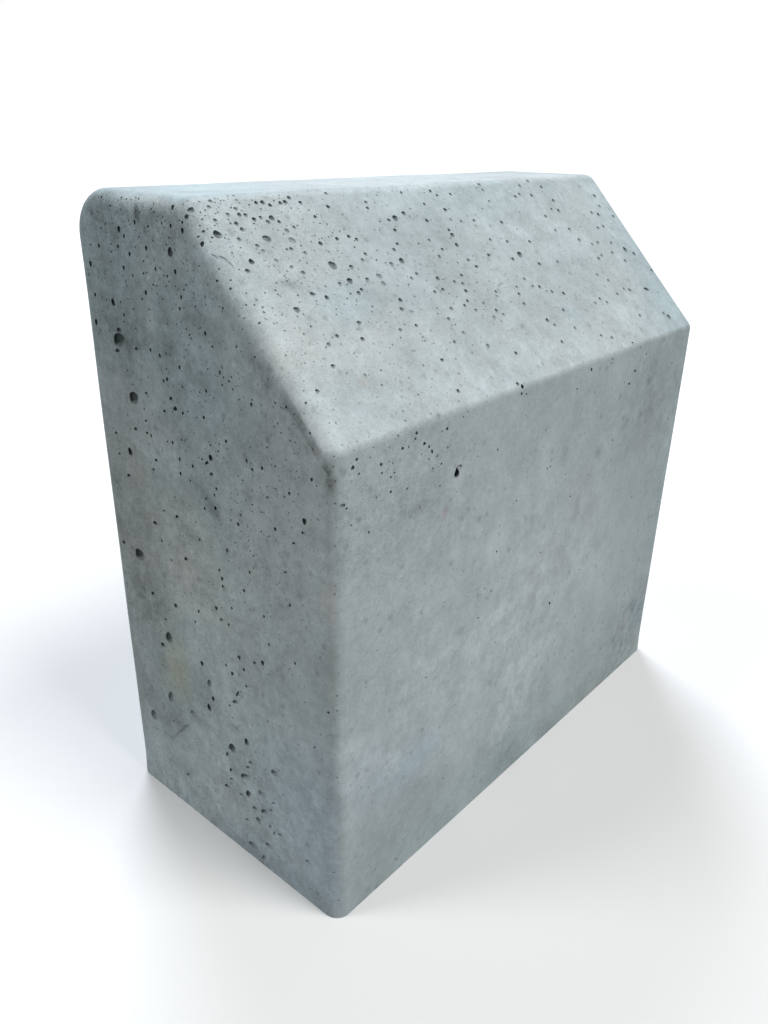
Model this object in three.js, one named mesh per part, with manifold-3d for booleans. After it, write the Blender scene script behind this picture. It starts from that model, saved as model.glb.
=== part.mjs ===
// A splayed concrete kerb stone, cast in one piece in a smooth plastic mould.
//
// Frame: millimetres, +Z up. The kerb runs along X, the road side faces -Y,
// and the origin is the middle of the flat bed that it stands on.

import * as THREE from "three";
import { mergeVertices } from "three/addons/utils/BufferGeometryUtils.js";
import Module from "manifold-3d";

// Overall sizes
const length = 300; // along the kerb line, end joint to end joint
const width = 150; // road face to back, at the bed
const height = 300; // bed to top

// The splay: the sloping face between the upright road face and the top
const splayDepth = 75; // how far it runs in from the road face
const splayHeight = 78; // how far it drops from the top

// Radii that the mould leaves on its edges
const backRadius = 20; // top to back
const crestRadius = 8; // top to splay
const kneeRadius = 4.5; // splay to road face
const endRadius = 7; // all round both ends

// Facets of the round stretches
const cornerSegments = 14; // for each rounded corner of the section
const kneeSegments = 5; // for the small round of the knee
const endSegments = 10; // for the quarter round at each end

const concreteColour = 0xa9adad;

const wasm = await Module();
wasm.setup();

// The arc that rounds off the corner between its two neighbours: its centre, and where
// it starts and ends as seen from there.
function roundOf(corner, before, after, radius) {
  const point = new THREE.Vector2(...corner);
  const toBefore = new THREE.Vector2(...before).sub(point).normalize();
  const toAfter = new THREE.Vector2(...after).sub(point).normalize();
  const halfAngle = Math.acos(toBefore.dot(toAfter)) / 2;
  const bisector = toBefore.clone().add(toAfter).normalize();
  const centre = point.clone().addScaledVector(bisector, radius / Math.sin(halfAngle));
  const tangent = radius / Math.tan(halfAngle);
  const start = point.clone().addScaledVector(toBefore, tangent).sub(centre);
  const end = point.clone().addScaledVector(toAfter, tangent).sub(centre);
  return { centre, start, end };
}

// A closed polygon whose corners are [x, y, radius], in order anticlockwise.
// A corner of radius 0 stays sharp.
function roundedShape(corners) {
  const shape = new THREE.Shape();
  corners.forEach(([x, y, radius], i) => {
    if (radius === 0) {
      if (i === 0) shape.moveTo(x, y);
      else shape.lineTo(x, y);
      return;
    }
    const before = corners[(i + corners.length - 1) % corners.length].slice(0, 2);
    const after = corners[(i + 1) % corners.length].slice(0, 2);
    const { centre, start, end } = roundOf([x, y], before, after, radius);
    shape.absarc(centre.x, centre.y, radius, start.angle(), end.angle(), false);
  });
  shape.closePath();
  return shape;
}

// A three.js geometry as a solid that can be cut.
function solidOf(geometry) {
  const bare = geometry.clone();
  bare.deleteAttribute("normal");
  bare.deleteAttribute("uv");
  const merged = mergeVertices(bare, 1e-4);
  return new wasm.Manifold(
    new wasm.Mesh({
      numProp: 3,
      vertProperties: merged.attributes.position.array,
      triVerts: new Uint32Array(merged.index.array),
    }),
  );
}

// A cut solid back as a three.js geometry.
function geometryOf(solid) {
  const mesh = solid.getMesh();
  const geometry = new THREE.BufferGeometry();
  geometry.setAttribute("position", new THREE.BufferAttribute(mesh.vertProperties, 3));
  geometry.setIndex(new THREE.BufferAttribute(mesh.triVerts, 1));
  geometry.computeVertexNormals();
  return geometry;
}

// The section across the kerb, drawn with the road face at the left. It is drawn past
// the bed by twice the end radius, so that the rounds run on below and are cut square.
const overrun = 2 * endRadius;
const roadSide = -width / 2;
const backSide = width / 2;
const foot = [roadSide, -overrun];
const crest = [roadSide + splayDepth, height];
const knee = [roadSide, height - splayHeight];
const section = roundedShape([
  [...foot, 0],
  [backSide, -overrun, 0],
  [backSide, height, backRadius],
  [...crest, crestRadius],
  [...knee, 0],
]);

// The casting: the section run along the kerb, with a quarter round at both ends.
const casting = new THREE.ExtrudeGeometry(section, {
  depth: length - 2 * endRadius,
  curveSegments: cornerSegments,
  bevelThickness: endRadius,
  bevelSize: endRadius,
  bevelOffset: -endRadius,
  bevelSegments: endSegments,
});
casting.translate(0, 0, endRadius - length / 2);

// The knee's round is smaller than the ends', so it is taken off afterwards: a strip
// along the whole knee, from the arc out to a point just clear of the sharp corner.
const kneeRound = roundOf(knee, crest, foot, kneeRadius);
const splayTangent = kneeRound.centre.clone().add(kneeRound.start);
const faceTangent = kneeRound.centre.clone().add(kneeRound.end);
const outside = new THREE.Vector2(...knee).multiplyScalar(2).sub(kneeRound.centre);
const kneeStrip = new THREE.Shape();
kneeStrip.moveTo(faceTangent.x, faceTangent.y);
kneeStrip.lineTo(outside.x, outside.y);
kneeStrip.lineTo(splayTangent.x, splayTangent.y);
const { x: kneeX, y: kneeY } = kneeRound.centre;
kneeStrip.absarc(kneeX, kneeY, kneeRadius, kneeRound.start.angle(), kneeRound.end.angle(), false);
kneeStrip.closePath();
const offTheKnee = new THREE.ExtrudeGeometry(kneeStrip, {
  depth: 2 * length,
  curveSegments: kneeSegments,
  bevelEnabled: false,
});
offTheKnee.translate(0, 0, -length);

// The bed was the open side of the mould and was struck off flat: its edges are sharp.
const belowBed = new THREE.BoxGeometry(2 * width, 2 * overrun, 2 * length);
belowBed.translate(0, -overrun, 0);

const kerbStone = new THREE.Mesh(
  geometryOf(solidOf(casting).subtract(solidOf(offTheKnee)).subtract(solidOf(belowBed))),
  new THREE.MeshStandardMaterial({ color: concreteColour, roughness: 0.85, metalness: 0 }),
);
kerbStone.name = "kerb_stone";
kerbStone.rotation.set(Math.PI / 2, Math.PI / 2, 0); // the section stands up, its run turned along X

const kerb = new THREE.Group();
kerb.add(kerbStone);

export default kerb;
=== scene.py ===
import math
from collections import namedtuple

import bmesh
import bpy
import numpy as np
from mathutils import Matrix, Vector, noise
from mathutils.bvhtree import BVHTree


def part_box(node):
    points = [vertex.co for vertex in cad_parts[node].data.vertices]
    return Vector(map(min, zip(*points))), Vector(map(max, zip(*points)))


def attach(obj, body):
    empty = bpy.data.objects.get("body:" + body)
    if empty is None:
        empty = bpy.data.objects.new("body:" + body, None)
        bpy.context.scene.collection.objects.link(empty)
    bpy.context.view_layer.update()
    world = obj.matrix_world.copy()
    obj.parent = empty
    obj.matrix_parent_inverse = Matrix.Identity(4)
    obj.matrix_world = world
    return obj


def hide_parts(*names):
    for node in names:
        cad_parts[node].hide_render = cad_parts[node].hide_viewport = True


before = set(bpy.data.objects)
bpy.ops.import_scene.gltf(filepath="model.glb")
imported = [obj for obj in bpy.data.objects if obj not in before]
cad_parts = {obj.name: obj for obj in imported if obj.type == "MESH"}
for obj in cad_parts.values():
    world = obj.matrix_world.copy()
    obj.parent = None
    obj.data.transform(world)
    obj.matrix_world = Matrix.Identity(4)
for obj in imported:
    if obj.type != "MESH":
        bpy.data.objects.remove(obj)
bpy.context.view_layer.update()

MM = 0.001


# ----------------------------------------
# Camera
# A phone held close, about a third of a metre off and a little above, looking
# across the left-hand corner of the kerb and slightly down.

PICTURE_HEIGHT = 1024
FOCAL_PIXELS = 843.6
SENSOR = 36.0
NEAREST = 10 * MM
CAMERA_PLACE = Vector((-339.7, -262.1, 322.8)) * MM
CAMERA_TURN = math.radians(-49.14)
CAMERA_DIP = math.radians(24.46)
CAMERA_ROLL = math.radians(0.99)

camera_data = bpy.data.cameras.new("camera")
camera_data.sensor_width = SENSOR
camera_data.lens = SENSOR * FOCAL_PIXELS / PICTURE_HEIGHT
camera_data.clip_start = NEAREST
camera = bpy.data.objects.new("camera", camera_data)
bpy.context.collection.objects.link(camera)
camera.matrix_world = (
    Matrix.Translation(CAMERA_PLACE)
    @ Matrix.Rotation(CAMERA_TURN, 4, "Z")
    @ Matrix.Rotation(math.pi / 2 - CAMERA_DIP, 4, "X")
    @ Matrix.Rotation(CAMERA_ROLL, 4, "Z")
)
bpy.context.scene.camera = camera


# ----------------------------------------
# The casting
# One block of plain concrete, cast upside down in a smooth plastic mould, which
# rounds every edge except those of the bed, where the mould was open. It starts
# as a box, is bisected along the splay and bevelled to the mould's radii, and the
# slight give of the mould's walls is pressed into its faces.

RIGHTWARD = Vector((1, 0, 0))
ROADWARD = Vector((0, -1, 0))
BACKWARD = -ROADWARD
UP = Vector((0, 0, 1))
DOWN = -UP
(LEFT, ROAD, BED), (RIGHT, BACK, TOP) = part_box("kerb_stone")
SPLAY_DEPTH = 75 * MM
SPLAY_HEIGHT = 78 * MM
CREST = Vector((0, ROAD + SPLAY_DEPTH, TOP))
KNEE = Vector((0, ROAD, TOP - SPLAY_HEIGHT))
SPLAY_NORMAL = Vector((0, -SPLAY_HEIGHT, SPLAY_DEPTH)).normalized()
SPLAY_FALL = (KNEE - CREST).normalized()
SPLAY_ANGLE = math.atan2(SPLAY_HEIGHT, SPLAY_DEPTH)

# Each round's radius, and the number of flats that it is made of.
BACK_RADIUS, BACK_FLATS = 20 * MM, 12
CREST_RADIUS, CREST_FLATS = 8 * MM, 8
KNEE_RADIUS, KNEE_FLATS = 4.5 * MM, 6
END_RADIUS, END_FLATS = 7 * MM, 8
SLACK = 0.01 * MM

# The faces are pressed in by up to GIVE, in waves of about GIVE_REACH, on a square grid of points.
GIVE = 0.7 * MM
GIVE_REACH = 70 * MM
GRID = 6 * MM


def near(a, b, slack=SLACK):
    return abs(a - b) < slack


def on_mitre(point):
    """True on the middle plane of the knee's corner, close to the knee."""
    inward = (DOWN - SPLAY_FALL).normalized()
    reach = point - KNEE
    reach.x = 0
    return near(reach.cross(inward).length, 0, 2 * SLACK) and reach.length < 2 * END_RADIUS


def only(obj):
    """Select one object and nothing else, and make it the active one."""
    bpy.ops.object.select_all(action="DESELECT")
    obj.select_set(True)
    bpy.context.view_layer.objects.active = obj


def select_edges(obj, wanted):
    """In edit mode, select only the edges whose two ends pass wanted(a, b)."""
    bpy.ops.mesh.select_all(action="DESELECT")
    cage = bmesh.from_edit_mesh(obj.data)
    for edge in cage.edges:
        edge.select = wanted(edge.verts[0].co, edge.verts[1].co)
    cage.select_flush_mode()
    bmesh.update_edit_mesh(obj.data)


def round_edge(radius, turn, flats):
    """Bevel the selected edges to a radius; turn is the angle the faces turn through."""
    bpy.ops.mesh.bevel(
        offset_type="OFFSET",
        offset=radius * math.tan(turn / 2),
        segments=flats,
        profile=0.5,
        clamp_overlap=False,
    )


# A cube of side 1 is stood on the bed's plane and stretched to the stone's box.
bpy.ops.object.select_all(action="DESELECT")
bpy.ops.mesh.primitive_cube_add(size=1, location=(0, 0, 0))
kerb = bpy.context.object
kerb.name = "kerb_casting"
bpy.ops.object.mode_set(mode="EDIT")
bpy.ops.mesh.select_mode(type="EDGE")
bpy.ops.transform.translate(value=(0, 0, 0.5))
bpy.ops.transform.resize(value=(RIGHT - LEFT, BACK - ROAD, TOP - BED), center_override=(0, 0, 0))
bpy.ops.mesh.bisect(plane_co=KNEE, plane_no=SPLAY_NORMAL, use_fill=True, clear_outer=True)

select_edges(kerb, lambda a, b: all(near(p.y, BACK) and near(p.z, TOP) for p in (a, b)))
round_edge(BACK_RADIUS, math.pi / 2, BACK_FLATS)
select_edges(kerb, lambda a, b: all(near(p.y, CREST.y) and near(p.z, TOP) for p in (a, b)))
round_edge(CREST_RADIUS, SPLAY_ANGLE, CREST_FLATS)
for end in (LEFT, RIGHT):
    select_edges(
        kerb,
        lambda a, b: near(a.x, end) and near(b.x, end) and not (near(a.z, BED) and near(b.z, BED)),
    )
    round_edge(END_RADIUS, math.pi / 2, END_FLATS)
# The knee is rounded last, from end to end, because its round is smaller than the ends'.
select_edges(kerb, lambda a, b: all(on_mitre(p) for p in (a, b)))
round_edge(KNEE_RADIUS, math.pi / 2 - SPLAY_ANGLE, KNEE_FLATS)

for axis, low, high in ((RIGHTWARD, LEFT, RIGHT), (BACKWARD, ROAD, BACK), (UP, BED, TOP)):
    for cut in np.arange(low + 2 * GRID, high - GRID, GRID):
        bpy.ops.mesh.select_all(action="SELECT")
        bpy.ops.mesh.bisect(plane_co=axis * cut, plane_no=axis)
bpy.ops.mesh.select_all(action="SELECT")
bpy.ops.mesh.remove_doubles(threshold=2 * SLACK)
bpy.ops.mesh.normals_make_consistent(inside=False)
bpy.ops.object.mode_set(mode="OBJECT")

cast_faces = kerb.vertex_groups.new(name="cast_faces")
cast_faces.add([v.index for v in kerb.data.vertices if v.co.z > BED + GRID], 1, "REPLACE")
mould_give = bpy.data.textures.new("mould_give", "CLOUDS")
mould_give.noise_scale = GIVE_REACH
mould_give.noise_depth = 1
press = kerb.modifiers.new("give", "DISPLACE")
press.texture = mould_give
press.texture_coords = "LOCAL"
press.vertex_group = cast_faces.name
press.mid_level = 1
press.strength = GIVE
only(kerb)
bpy.ops.object.modifier_apply(modifier=press.name)


# ----------------------------------------
# Air holes
# Bubbles of air trapped against the mould, which leave round and oval pits from
# under a millimetre to 9 mm long. The larger ones are placed one by one, and the
# rest are scattered as thickly as each face has them. Every pit is cut by a
# squashed ball, and a deep one goes in at a slant.

# Round holes on the splay: mm from the left end, mm down from the crest, mm across, mm deep.
SPLAY_HOLES = [
    (2.4, 5.1, 2.4, 1.4), (12.7, 2.7, 1.9, 1), (10.4, 5.3, 1.9, 1), (32.9, 4.8, 1.5, 1.3),
    (36, 4.8, 1.7, 1.5), (38.9, 6.3, 1.5, 1.2), (44.6, 5.6, 1.9, 1.6), (47.3, 5.4, 2.3, 1.6),
    (50.6, 3.4, 2, 1.6), (55, 6.1, 1.6, 1.1), (21.7, 6.9, 1.9, 1.1), (16.7, 9.2, 2, 1.1),
    (21.7, 9.6, 1.7, 1), (24.5, 9.9, 1.9, 1.6), (9.7, 11.2, 2, 1.1), (27.3, 12.1, 1.7, 1.4),
    (30.8, 11.5, 1.8, 1.2), (35.9, 12.1, 2.8, 1.9), (33.1, 13.7, 1.6, 0.9), (38.4, 14, 1.4, 1.2),
    (18, 13.3, 1.7, 1), (19, 15.9, 1.6, 1), (7.2, 17.1, 3.3, 2.3), (15, 20, 1.9, 1), (21.4, 23.5, 1.9, 1),
    (22.7, 25.8, 1.8, 0.6), (14.7, 29.7, 2.6, 2.2), (36.3, 26.5, 2.1, 1.1), (41.9, 28.9, 1.9, 1),
    (44.1, 17.1, 1.8, 1), (58.2, 13.1, 1.8, 1.6), (68.5, 8.9, 2, 1.7), (72.1, 2.2, 1.8, 1.2),
    (52.5, 25.5, 2.2, 1.6), (73.3, 25.5, 1.8, 1.5), (62.7, 24.3, 1.6, 1.3), (69.9, 23.8, 1.6, 1.3),
    (73.1, 32.8, 1.8, 1.5), (69.4, 35.3, 1.9, 0.9), (61.1, 37.9, 2.7, 1.4), (51.9, 36, 4.1, 1.6),
    (35.1, 37.3, 2.3, 1.1), (10.5, 33.3, 1.7, 0.9), (31.4, 34.2, 1.8, 1), (26, 30.5, 1.9, 0.6),
    (22, 51.9, 2.9, 1.5), (39.1, 49.1, 2.1, 1.6), (49.7, 44.4, 2.1, 1), (55.7, 43.9, 3, 2),
    (56.5, 49.7, 2.1, 1.5), (59, 48.5, 1.9, 1.6), (65.5, 44.4, 1.7, 1), (33.3, 46.7, 1.7, 1),
    (47.3, 62.2, 2.2, 1.4), (33.1, 65.4, 1.8, 1.3), (44.2, 69, 2.2, 1.6), (26.9, 67.9, 2, 1.2),
    (23, 76.6, 2.1, 1.5), (9.8, 84.1, 1.9, 1.4), (66.5, 69, 2, 1.1), (74.2, 60.2, 2.4, 1.1),
    (35.1, 83.2, 1.8, 0.8), (92.1, 8, 1.9, 1.3), (90.9, 10.9, 1.8, 1.5), (118.4, 4.3, 1.8, 1.2),
    (139.1, 4.5, 2.2, 1.4), (142.2, 7, 2, 1.2), (129.2, 11.2, 1.8, 1.3), (111.5, 15.1, 2.6, 2),
    (104.1, 17.3, 3.4, 2.2), (99.3, 17.9, 2, 1.3), (99.2, 23.2, 1.7, 1.5), (123.8, 20.1, 2.1, 1.6),
    (141.4, 15.4, 2.7, 1.7), (140.8, 20.9, 2, 0.6), (147.7, 22.3, 1.9, 1.2), (95.3, 30, 1.8, 1.6),
    (91.2, 32.6, 2.1, 1.3), (91.6, 38.4, 2.9, 2), (84.5, 39.2, 2.6, 1.1), (117, 30.2, 1.9, 0.9),
    (134.8, 26.2, 1.8, 1.6), (135.1, 29, 2.7, 1.9), (133.7, 34.4, 2.3, 1.8), (122, 35.7, 1.9, 1.7),
    (116.8, 39, 1.9, 1.2), (135.1, 43.1, 2.2, 1.1), (137.7, 47, 2, 1.5), (95.8, 45.6, 2, 1),
    (91.1, 47.2, 2, 1.1), (106.9, 49.5, 2.6, 1.4), (116.3, 52.5, 1.9, 1.1), (123.7, 50, 1.9, 1.5),
    (120.9, 54.1, 1.9, 1.1), (76.7, 56.1, 2.3, 1.7), (78.6, 62.4, 2.6, 0.5), (100, 55.5, 2, 1.3),
    (105.8, 55, 1.8, 1.4), (120, 58, 2.1, 1.5), (116.9, 62.8, 1.8, 1.4), (113.2, 64.6, 1.9, 1.3),
    (103.5, 64.7, 2.2, 1.2), (98, 69.1, 2.1, 1.2), (76.7, 68.6, 1.9, 1.6), (118.6, 68, 1.9, 0.9),
    (126.7, 65.5, 1.8, 1), (132.3, 70.4, 2.2, 1.3), (135.6, 73.1, 1.9, 1.1), (127.7, 73.5, 2.8, 0.6),
    (140.3, 61.3, 1.8, 1.3), (138.8, 63.7, 2.4, 0.5), (92.8, 79.8, 1.8, 1.5), (101.6, 76.8, 2, 1),
    (79.1, 86, 1.6, 1.4), (111.8, 85.4, 2.4, 0.9), (127.2, 92.5, 2.2, 1.9), (77.4, 100.4, 1.6, 1.6),
    (115.4, 106.1, 1.7, 1.4), (117.8, 107.8, 1.6, 1.4), (180, 2.4, 2.6, 1.3), (179.8, 5.8, 2.1, 0.7),
    (179, 12.7, 1.8, 1), (152.5, 6.8, 1.9, 1.2), (157.7, 22.7, 2.1, 1.5), (178.2, 25.6, 2.6, 1.5),
    (203.8, 11.3, 2.5, 1.2), (208.7, 10, 2.1, 1), (214, 4.9, 2.4, 0.9), (219.2, 11.5, 2.6, 1.5),
    (219.9, 25, 2.4, 1.2), (160.6, 34.1, 1.9, 1.2), (172.7, 36.6, 2.2, 1.3), (191, 38.6, 2.4, 1.6),
    (152, 42.2, 2.2, 1.8), (168.3, 46.5, 2.3, 1.7), (176.1, 44.7, 3.6, 2.3), (187, 51.8, 2.6, 1.5),
    (220.6, 34.1, 2.2, 1.1), (203.7, 52.4, 2.2, 0.7), (224.8, 2, 2.8, 1), (167.3, 58, 2, 1.2),
    (157.6, 61.2, 1.9, 1), (156, 64.9, 2, 1.4), (170.3, 62.6, 1.8, 1.1), (175.2, 63.8, 2.3, 1.5),
    (155, 70.4, 2.2, 1), (182.6, 67.8, 2.3, 0.9), (191.3, 70.2, 2.5, 1.7), (182.3, 78.6, 2.3, 1.2),
    (164.5, 81.4, 2.6, 1.8), (167.8, 84.8, 2.2, 1), (182.4, 89.1, 2.1, 1.1), (165.2, 93.9, 2.2, 1.6),
    (200, 97.1, 2.2, 1.2), (208.2, 99.9, 2.3, 0.9), (213.7, 79.5, 2.1, 0.9), (220.3, 77.7, 2.2, 1.3),
    (224.8, 80.8, 2.3, 1.4), (224, 106.3, 2.1, 1.2), (233.8, 6.6, 2.6, 1), (237, 15.8, 2.7, 1.5),
    (229.7, 21.1, 2.3, 1.4), (235.7, 22.3, 2.6, 1.5), (234.7, 34.7, 2.8, 1.5), (237.3, 41.8, 2.7, 1.4),
    (253.9, 45.5, 2.8, 1.5), (247.4, 45.7, 2.2, 0.9), (264.2, 36.3, 2.5, 1.4), (270.9, 35.9, 2.6, 1),
    (283.5, 15.4, 2.9, 1.4), (281.5, 22.4, 2.6, 1), (274, 27.9, 2.9, 1.7), (267.9, 26.1, 2.8, 0.9),
    (289.4, 30.2, 2.4, 1.1), (267.3, 47.1, 2.6, 0.8), (277.8, 52.8, 3.8, 1.6), (261.7, 53.1, 2.6, 0.9),
    (249.3, 53.7, 2.4, 0.8), (244.6, 54.9, 2.6, 1.4), (284.6, 56.5, 3, 1.5), (269.9, 59.6, 2.7, 1.4),
    (232.7, 64, 2.1, 1), (240, 68.7, 2.2, 1.2), (254.7, 77.2, 2.5, 1.1), (249.7, 75.7, 2.2, 1),
    (240.1, 77.6, 2.2, 0.9), (248, 93.1, 2.5, 1.3), (273.6, 96, 2.5, 0.8), (277, 99, 3.6, 1.5),
    (292, 69, 2.5, 1.3),
]
# Oval ones: the same two places, then the length, the width, the turn in degrees and the depth.
SPLAY_OVALS = [
    (27.8, 21, 3.8, 2.9, 150, 1.3), (39.2, 22.8, 3.2, 3, 0, 0.8), (39.6, 18.3, 2.3, 2.1, 0, 0.8),
    (73, 43.8, 3.1, 2.8, 0, 0.8), (72.8, 47.4, 2.8, 2.4, 0, 0.7), (272.5, 79.3, 4.6, 2.2, -20, 1.5),
]
# A scratch down the splay, the same way, but with its full size.
SPLAY_SCRATCH = [
    (0.3, 24.6, 3.6, 1, 152, 0.35), (3.5, 26.9, 4.2, 1.5, 143, 0.45), (5.1, 30, 3.6, 1.2, 117, 0.4),
]
# Round holes on the left-hand end: mm from the back, mm down from the top, mm across, mm deep.
END_HOLES = [
    (34.7, 14.3, 2.4, 1.6), (37.7, 16.7, 1.6, 1.1), (18.9, 22, 1.7, 1.4), (32.7, 21, 1.6, 1.2),
    (40.3, 23.1, 1.8, 1.5), (68.9, 26.6, 1.9, 1.6), (10.7, 29.8, 2.4, 1.6), (35, 28.8, 1.8, 1.4),
    (46, 10.9, 1.8, 1.2), (68.6, 10.5, 1.5, 1.3), (51.8, 19.8, 1.9, 1.3), (56.6, 27, 1.6, 1),
    (48.6, 36.7, 2, 1.3), (11.2, 42.3, 1.8, 1.4), (24.4, 43.8, 3, 1.7), (31.4, 47.8, 1.5, 1),
    (71.3, 35.5, 1.6, 1.1), (69.8, 40, 1.5, 1.1), (69.8, 3.6, 1.9, 1.1), (9.4, 53.9, 2.6, 1.6),
    (47.9, 59.3, 1.6, 1.2), (54, 60.6, 1.7, 1.2), (66.5, 63, 1.7, 1.3), (57.5, 69.4, 1.8, 1.1),
    (55, 70.6, 1.5, 1.1), (66, 81.6, 1.6, 1.2), (42.1, 96.9, 1.6, 1.4), (57.2, 96.2, 1.6, 1.2),
    (61.2, 102.5, 2, 1), (69.8, 103.2, 1.7, 1.5), (60.9, 108.9, 1.8, 1.7), (24.6, 108.7, 3.5, 2.2),
    (70.4, 136.2, 1.6, 1.2), (42, 146.5, 1.6, 1.3), (65.3, 173.4, 1.9, 1.4), (61.9, 180.4, 1.6, 1.2),
    (64.2, 201.6, 2.4, 1.9), (68.6, 210.6, 3.4, 1), (70.7, 218, 2.4, 1.5), (67.3, 225, 3, 1.9),
    (77.7, 6.3, 1.9, 1.2), (75.4, 11.6, 2, 1.7), (85.5, 14.9, 1.9, 1.5), (84.2, 47, 1.7, 1.6),
    (91.3, 60.4, 1.9, 0.7), (82.2, 69.2, 1.5, 1.2), (108.2, 69, 1.7, 1), (126.8, 66, 1.3, 1.3),
    (79.5, 80.4, 1.6, 1.6), (92.3, 87, 1.6, 1.6), (103.9, 91.9, 1.6, 0.9), (112.5, 92.6, 1.7, 1.3),
    (106.9, 94.7, 1.5, 1.3), (126.9, 98.5, 1.6, 1.5), (138.9, 89.7, 1.7, 1.2), (82, 96.4, 2.6, 1.9),
    (84.4, 109, 1.6, 1.5), (82.8, 112.2, 1.5, 1.3), (82.8, 117.9, 1.9, 1.7), (75.6, 120.3, 1.6, 1.6),
    (96.6, 120.7, 1.8, 1.8), (118.4, 115.7, 1.8, 1.7), (134.6, 107.3, 2.6, 2), (133.4, 112.2, 1.6, 1.4),
    (88.6, 135.1, 2.4, 0.9), (102, 140.2, 1.6, 1.4), (82.4, 146.4, 1.7, 1.4), (125.2, 146.2, 1.6, 1.6),
    (97.8, 150.3, 1.8, 1.3), (83.9, 150, 2, 1.5), (83.9, 153.6, 1.7, 1.3), (89, 162.2, 1.6, 1.3),
    (78.3, 166.5, 2.2, 1.9), (86.2, 171.5, 1.8, 0.9), (111.7, 170.2, 1.6, 1.2), (127.1, 172.3, 1.6, 1.3),
    (109.4, 157.8, 1.7, 1.1), (107, 181.4, 2.4, 2), (91.7, 185.8, 2.4, 1.5), (94.3, 190.8, 1.8, 1.6),
    (82.1, 194.2, 1.7, 1.1), (86.1, 196.8, 2.2, 1.6), (95.3, 199, 1.7, 1.3), (145.5, 187.1, 1.6, 1.2),
    (93.2, 230.9, 3.2, 1.9), (106.3, 272.5, 2.2, 0.8), (109.3, 274.9, 2.6, 0.7), (101, 296, 3.6, 0.8),
]
# Oval ones, as on the splay.
END_OVALS = [
    (66.9, 20, 3.4, 2.6, 90, 1.6), (26.3, 54.8, 2.9, 1.9, 10, 1.2), (23.5, 63.9, 2.8, 1.6, 10, 1.3),
    (37.8, 60.6, 2.2, 1.2, 10, 1.2), (41.6, 78.6, 1.8, 1.2, 10, 1.2), (58.8, 77.2, 2, 1.5, 20, 1.6),
    (61.2, 81, 2.6, 1.9, 20, 1.9), (53.6, 83.6, 1.9, 1.2, 10, 1.3), (39.4, 91, 1.9, 1.2, 10, 1),
    (31, 96.6, 2.4, 1.8, 20, 1.3), (39.4, 96.4, 1.9, 1.2, 10, 1.3), (15, 102.2, 2, 1.4, 10, 1),
    (44, 107.5, 2, 1.5, 20, 1.6), (41.2, 112.5, 1.9, 1.3, 10, 1.3), (15.7, 111.8, 1.9, 1.2, 10, 1.1),
    (21.1, 120.9, 2.6, 1.5, 15, 1.5), (55.3, 130.5, 2.1, 1.7, 10, 1.9), (46, 130.6, 2.2, 1, 15, 0.8),
    (38.2, 139, 2.8, 1.8, 10, 1.7), (59.3, 149.5, 2.5, 1.8, 20, 1.7), (9.8, 158.3, 2.4, 1.9, 10, 1.6),
    (48.2, 154, 1.7, 1, 10, 1.2), (29.8, 178.4, 2.5, 2, 10, 1.8), (48, 177.7, 2.6, 2.2, 20, 1.8),
    (38.6, 188.8, 2, 1.1, 10, 0.9), (33.7, 205.3, 2.8, 2.2, 20, 1.7), (54, 235, 3.6, 2.6, 15, 0.8),
    (44, 279, 3, 2, 45, 0.8), (128.5, 118.3, 1.9, 1.2, 15, 1.6), (79.4, 99.3, 2.4, 1.3, 35, 1.6),
    (82, 103.5, 2.6, 1.7, 15, 1.2), (123.4, 132.4, 2.2, 1.1, 15, 1), (81.4, 171.1, 2.4, 1.6, 15, 1.2),
    (101.8, 184, 2.1, 1.6, 15, 1.4), (88.8, 206.3, 3.2, 1.1, 62, 1.3), (86.7, 211.9, 3.2, 1.8, 30, 1.5),
    (82.8, 215.8, 1.9, 1.2, 15, 1.1), (95.1, 241.6, 2.6, 1.7, 15, 1.2), (93, 245.4, 2.4, 1.3, 20, 1.2),
    (78.3, 246, 2.4, 1.6, 60, 1.4), (111.2, 237.9, 4, 2.6, 20, 1.2), (137.4, 208.8, 1.6, 1.2, 10, 1.1),
    (80.2, 254.4, 2.4, 1.8, 60, 1.5), (80.5, 260, 3, 1.8, 15, 0.9), (92, 262, 3.6, 2.6, 75, 2),
    (76, 266.8, 2.6, 2, 15, 1.5), (86.7, 265.5, 2.4, 1.5, 15, 1), (96.1, 268, 2.6, 1.7, 15, 1.4),
    (102.4, 266, 3.4, 2, 45, 1.6), (101.6, 256, 4, 3, 15, 0.9), (109.9, 256.4, 2.2, 1.7, 10, 1),
    (107.7, 261.8, 2, 1.5, 10, 0.9), (98.6, 274, 3.4, 3, 10, 1.2), (113.3, 273, 2.6, 1.5, 15, 0.9),
    (90.1, 279, 2.4, 1.7, 15, 1.1), (104.8, 285.3, 4, 2.6, 15, 1.1), (131.2, 276.5, 2.4, 1.5, 15, 1.2),
    (93, 293, 5, 3, 15, 1.1),
]
# The large voids on that end, the same way, but with their full size at the rim.
END_VOIDS = [
    (25.5, 59, 8.6, 5.6, 20, 3.2), (31.8, 82.7, 7, 5.6, 30, 2.9), (22.3, 160.5, 7.6, 6.4, 20, 3),
    (39.5, 198.8, 6.4, 5.4, 80, 2.6), (35.8, 234.7, 6.8, 4.4, 75, 1.6), (18.3, 254.8, 6.2, 5.6, 80, 1.8),
    (82.4, 240.5, 5.8, 5.2, 80, 2.7), (90.5, 252.6, 7.4, 4, 25, 2.4), (147.2, 273, 1.6, 1.4, 15, 0.6),
]
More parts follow.
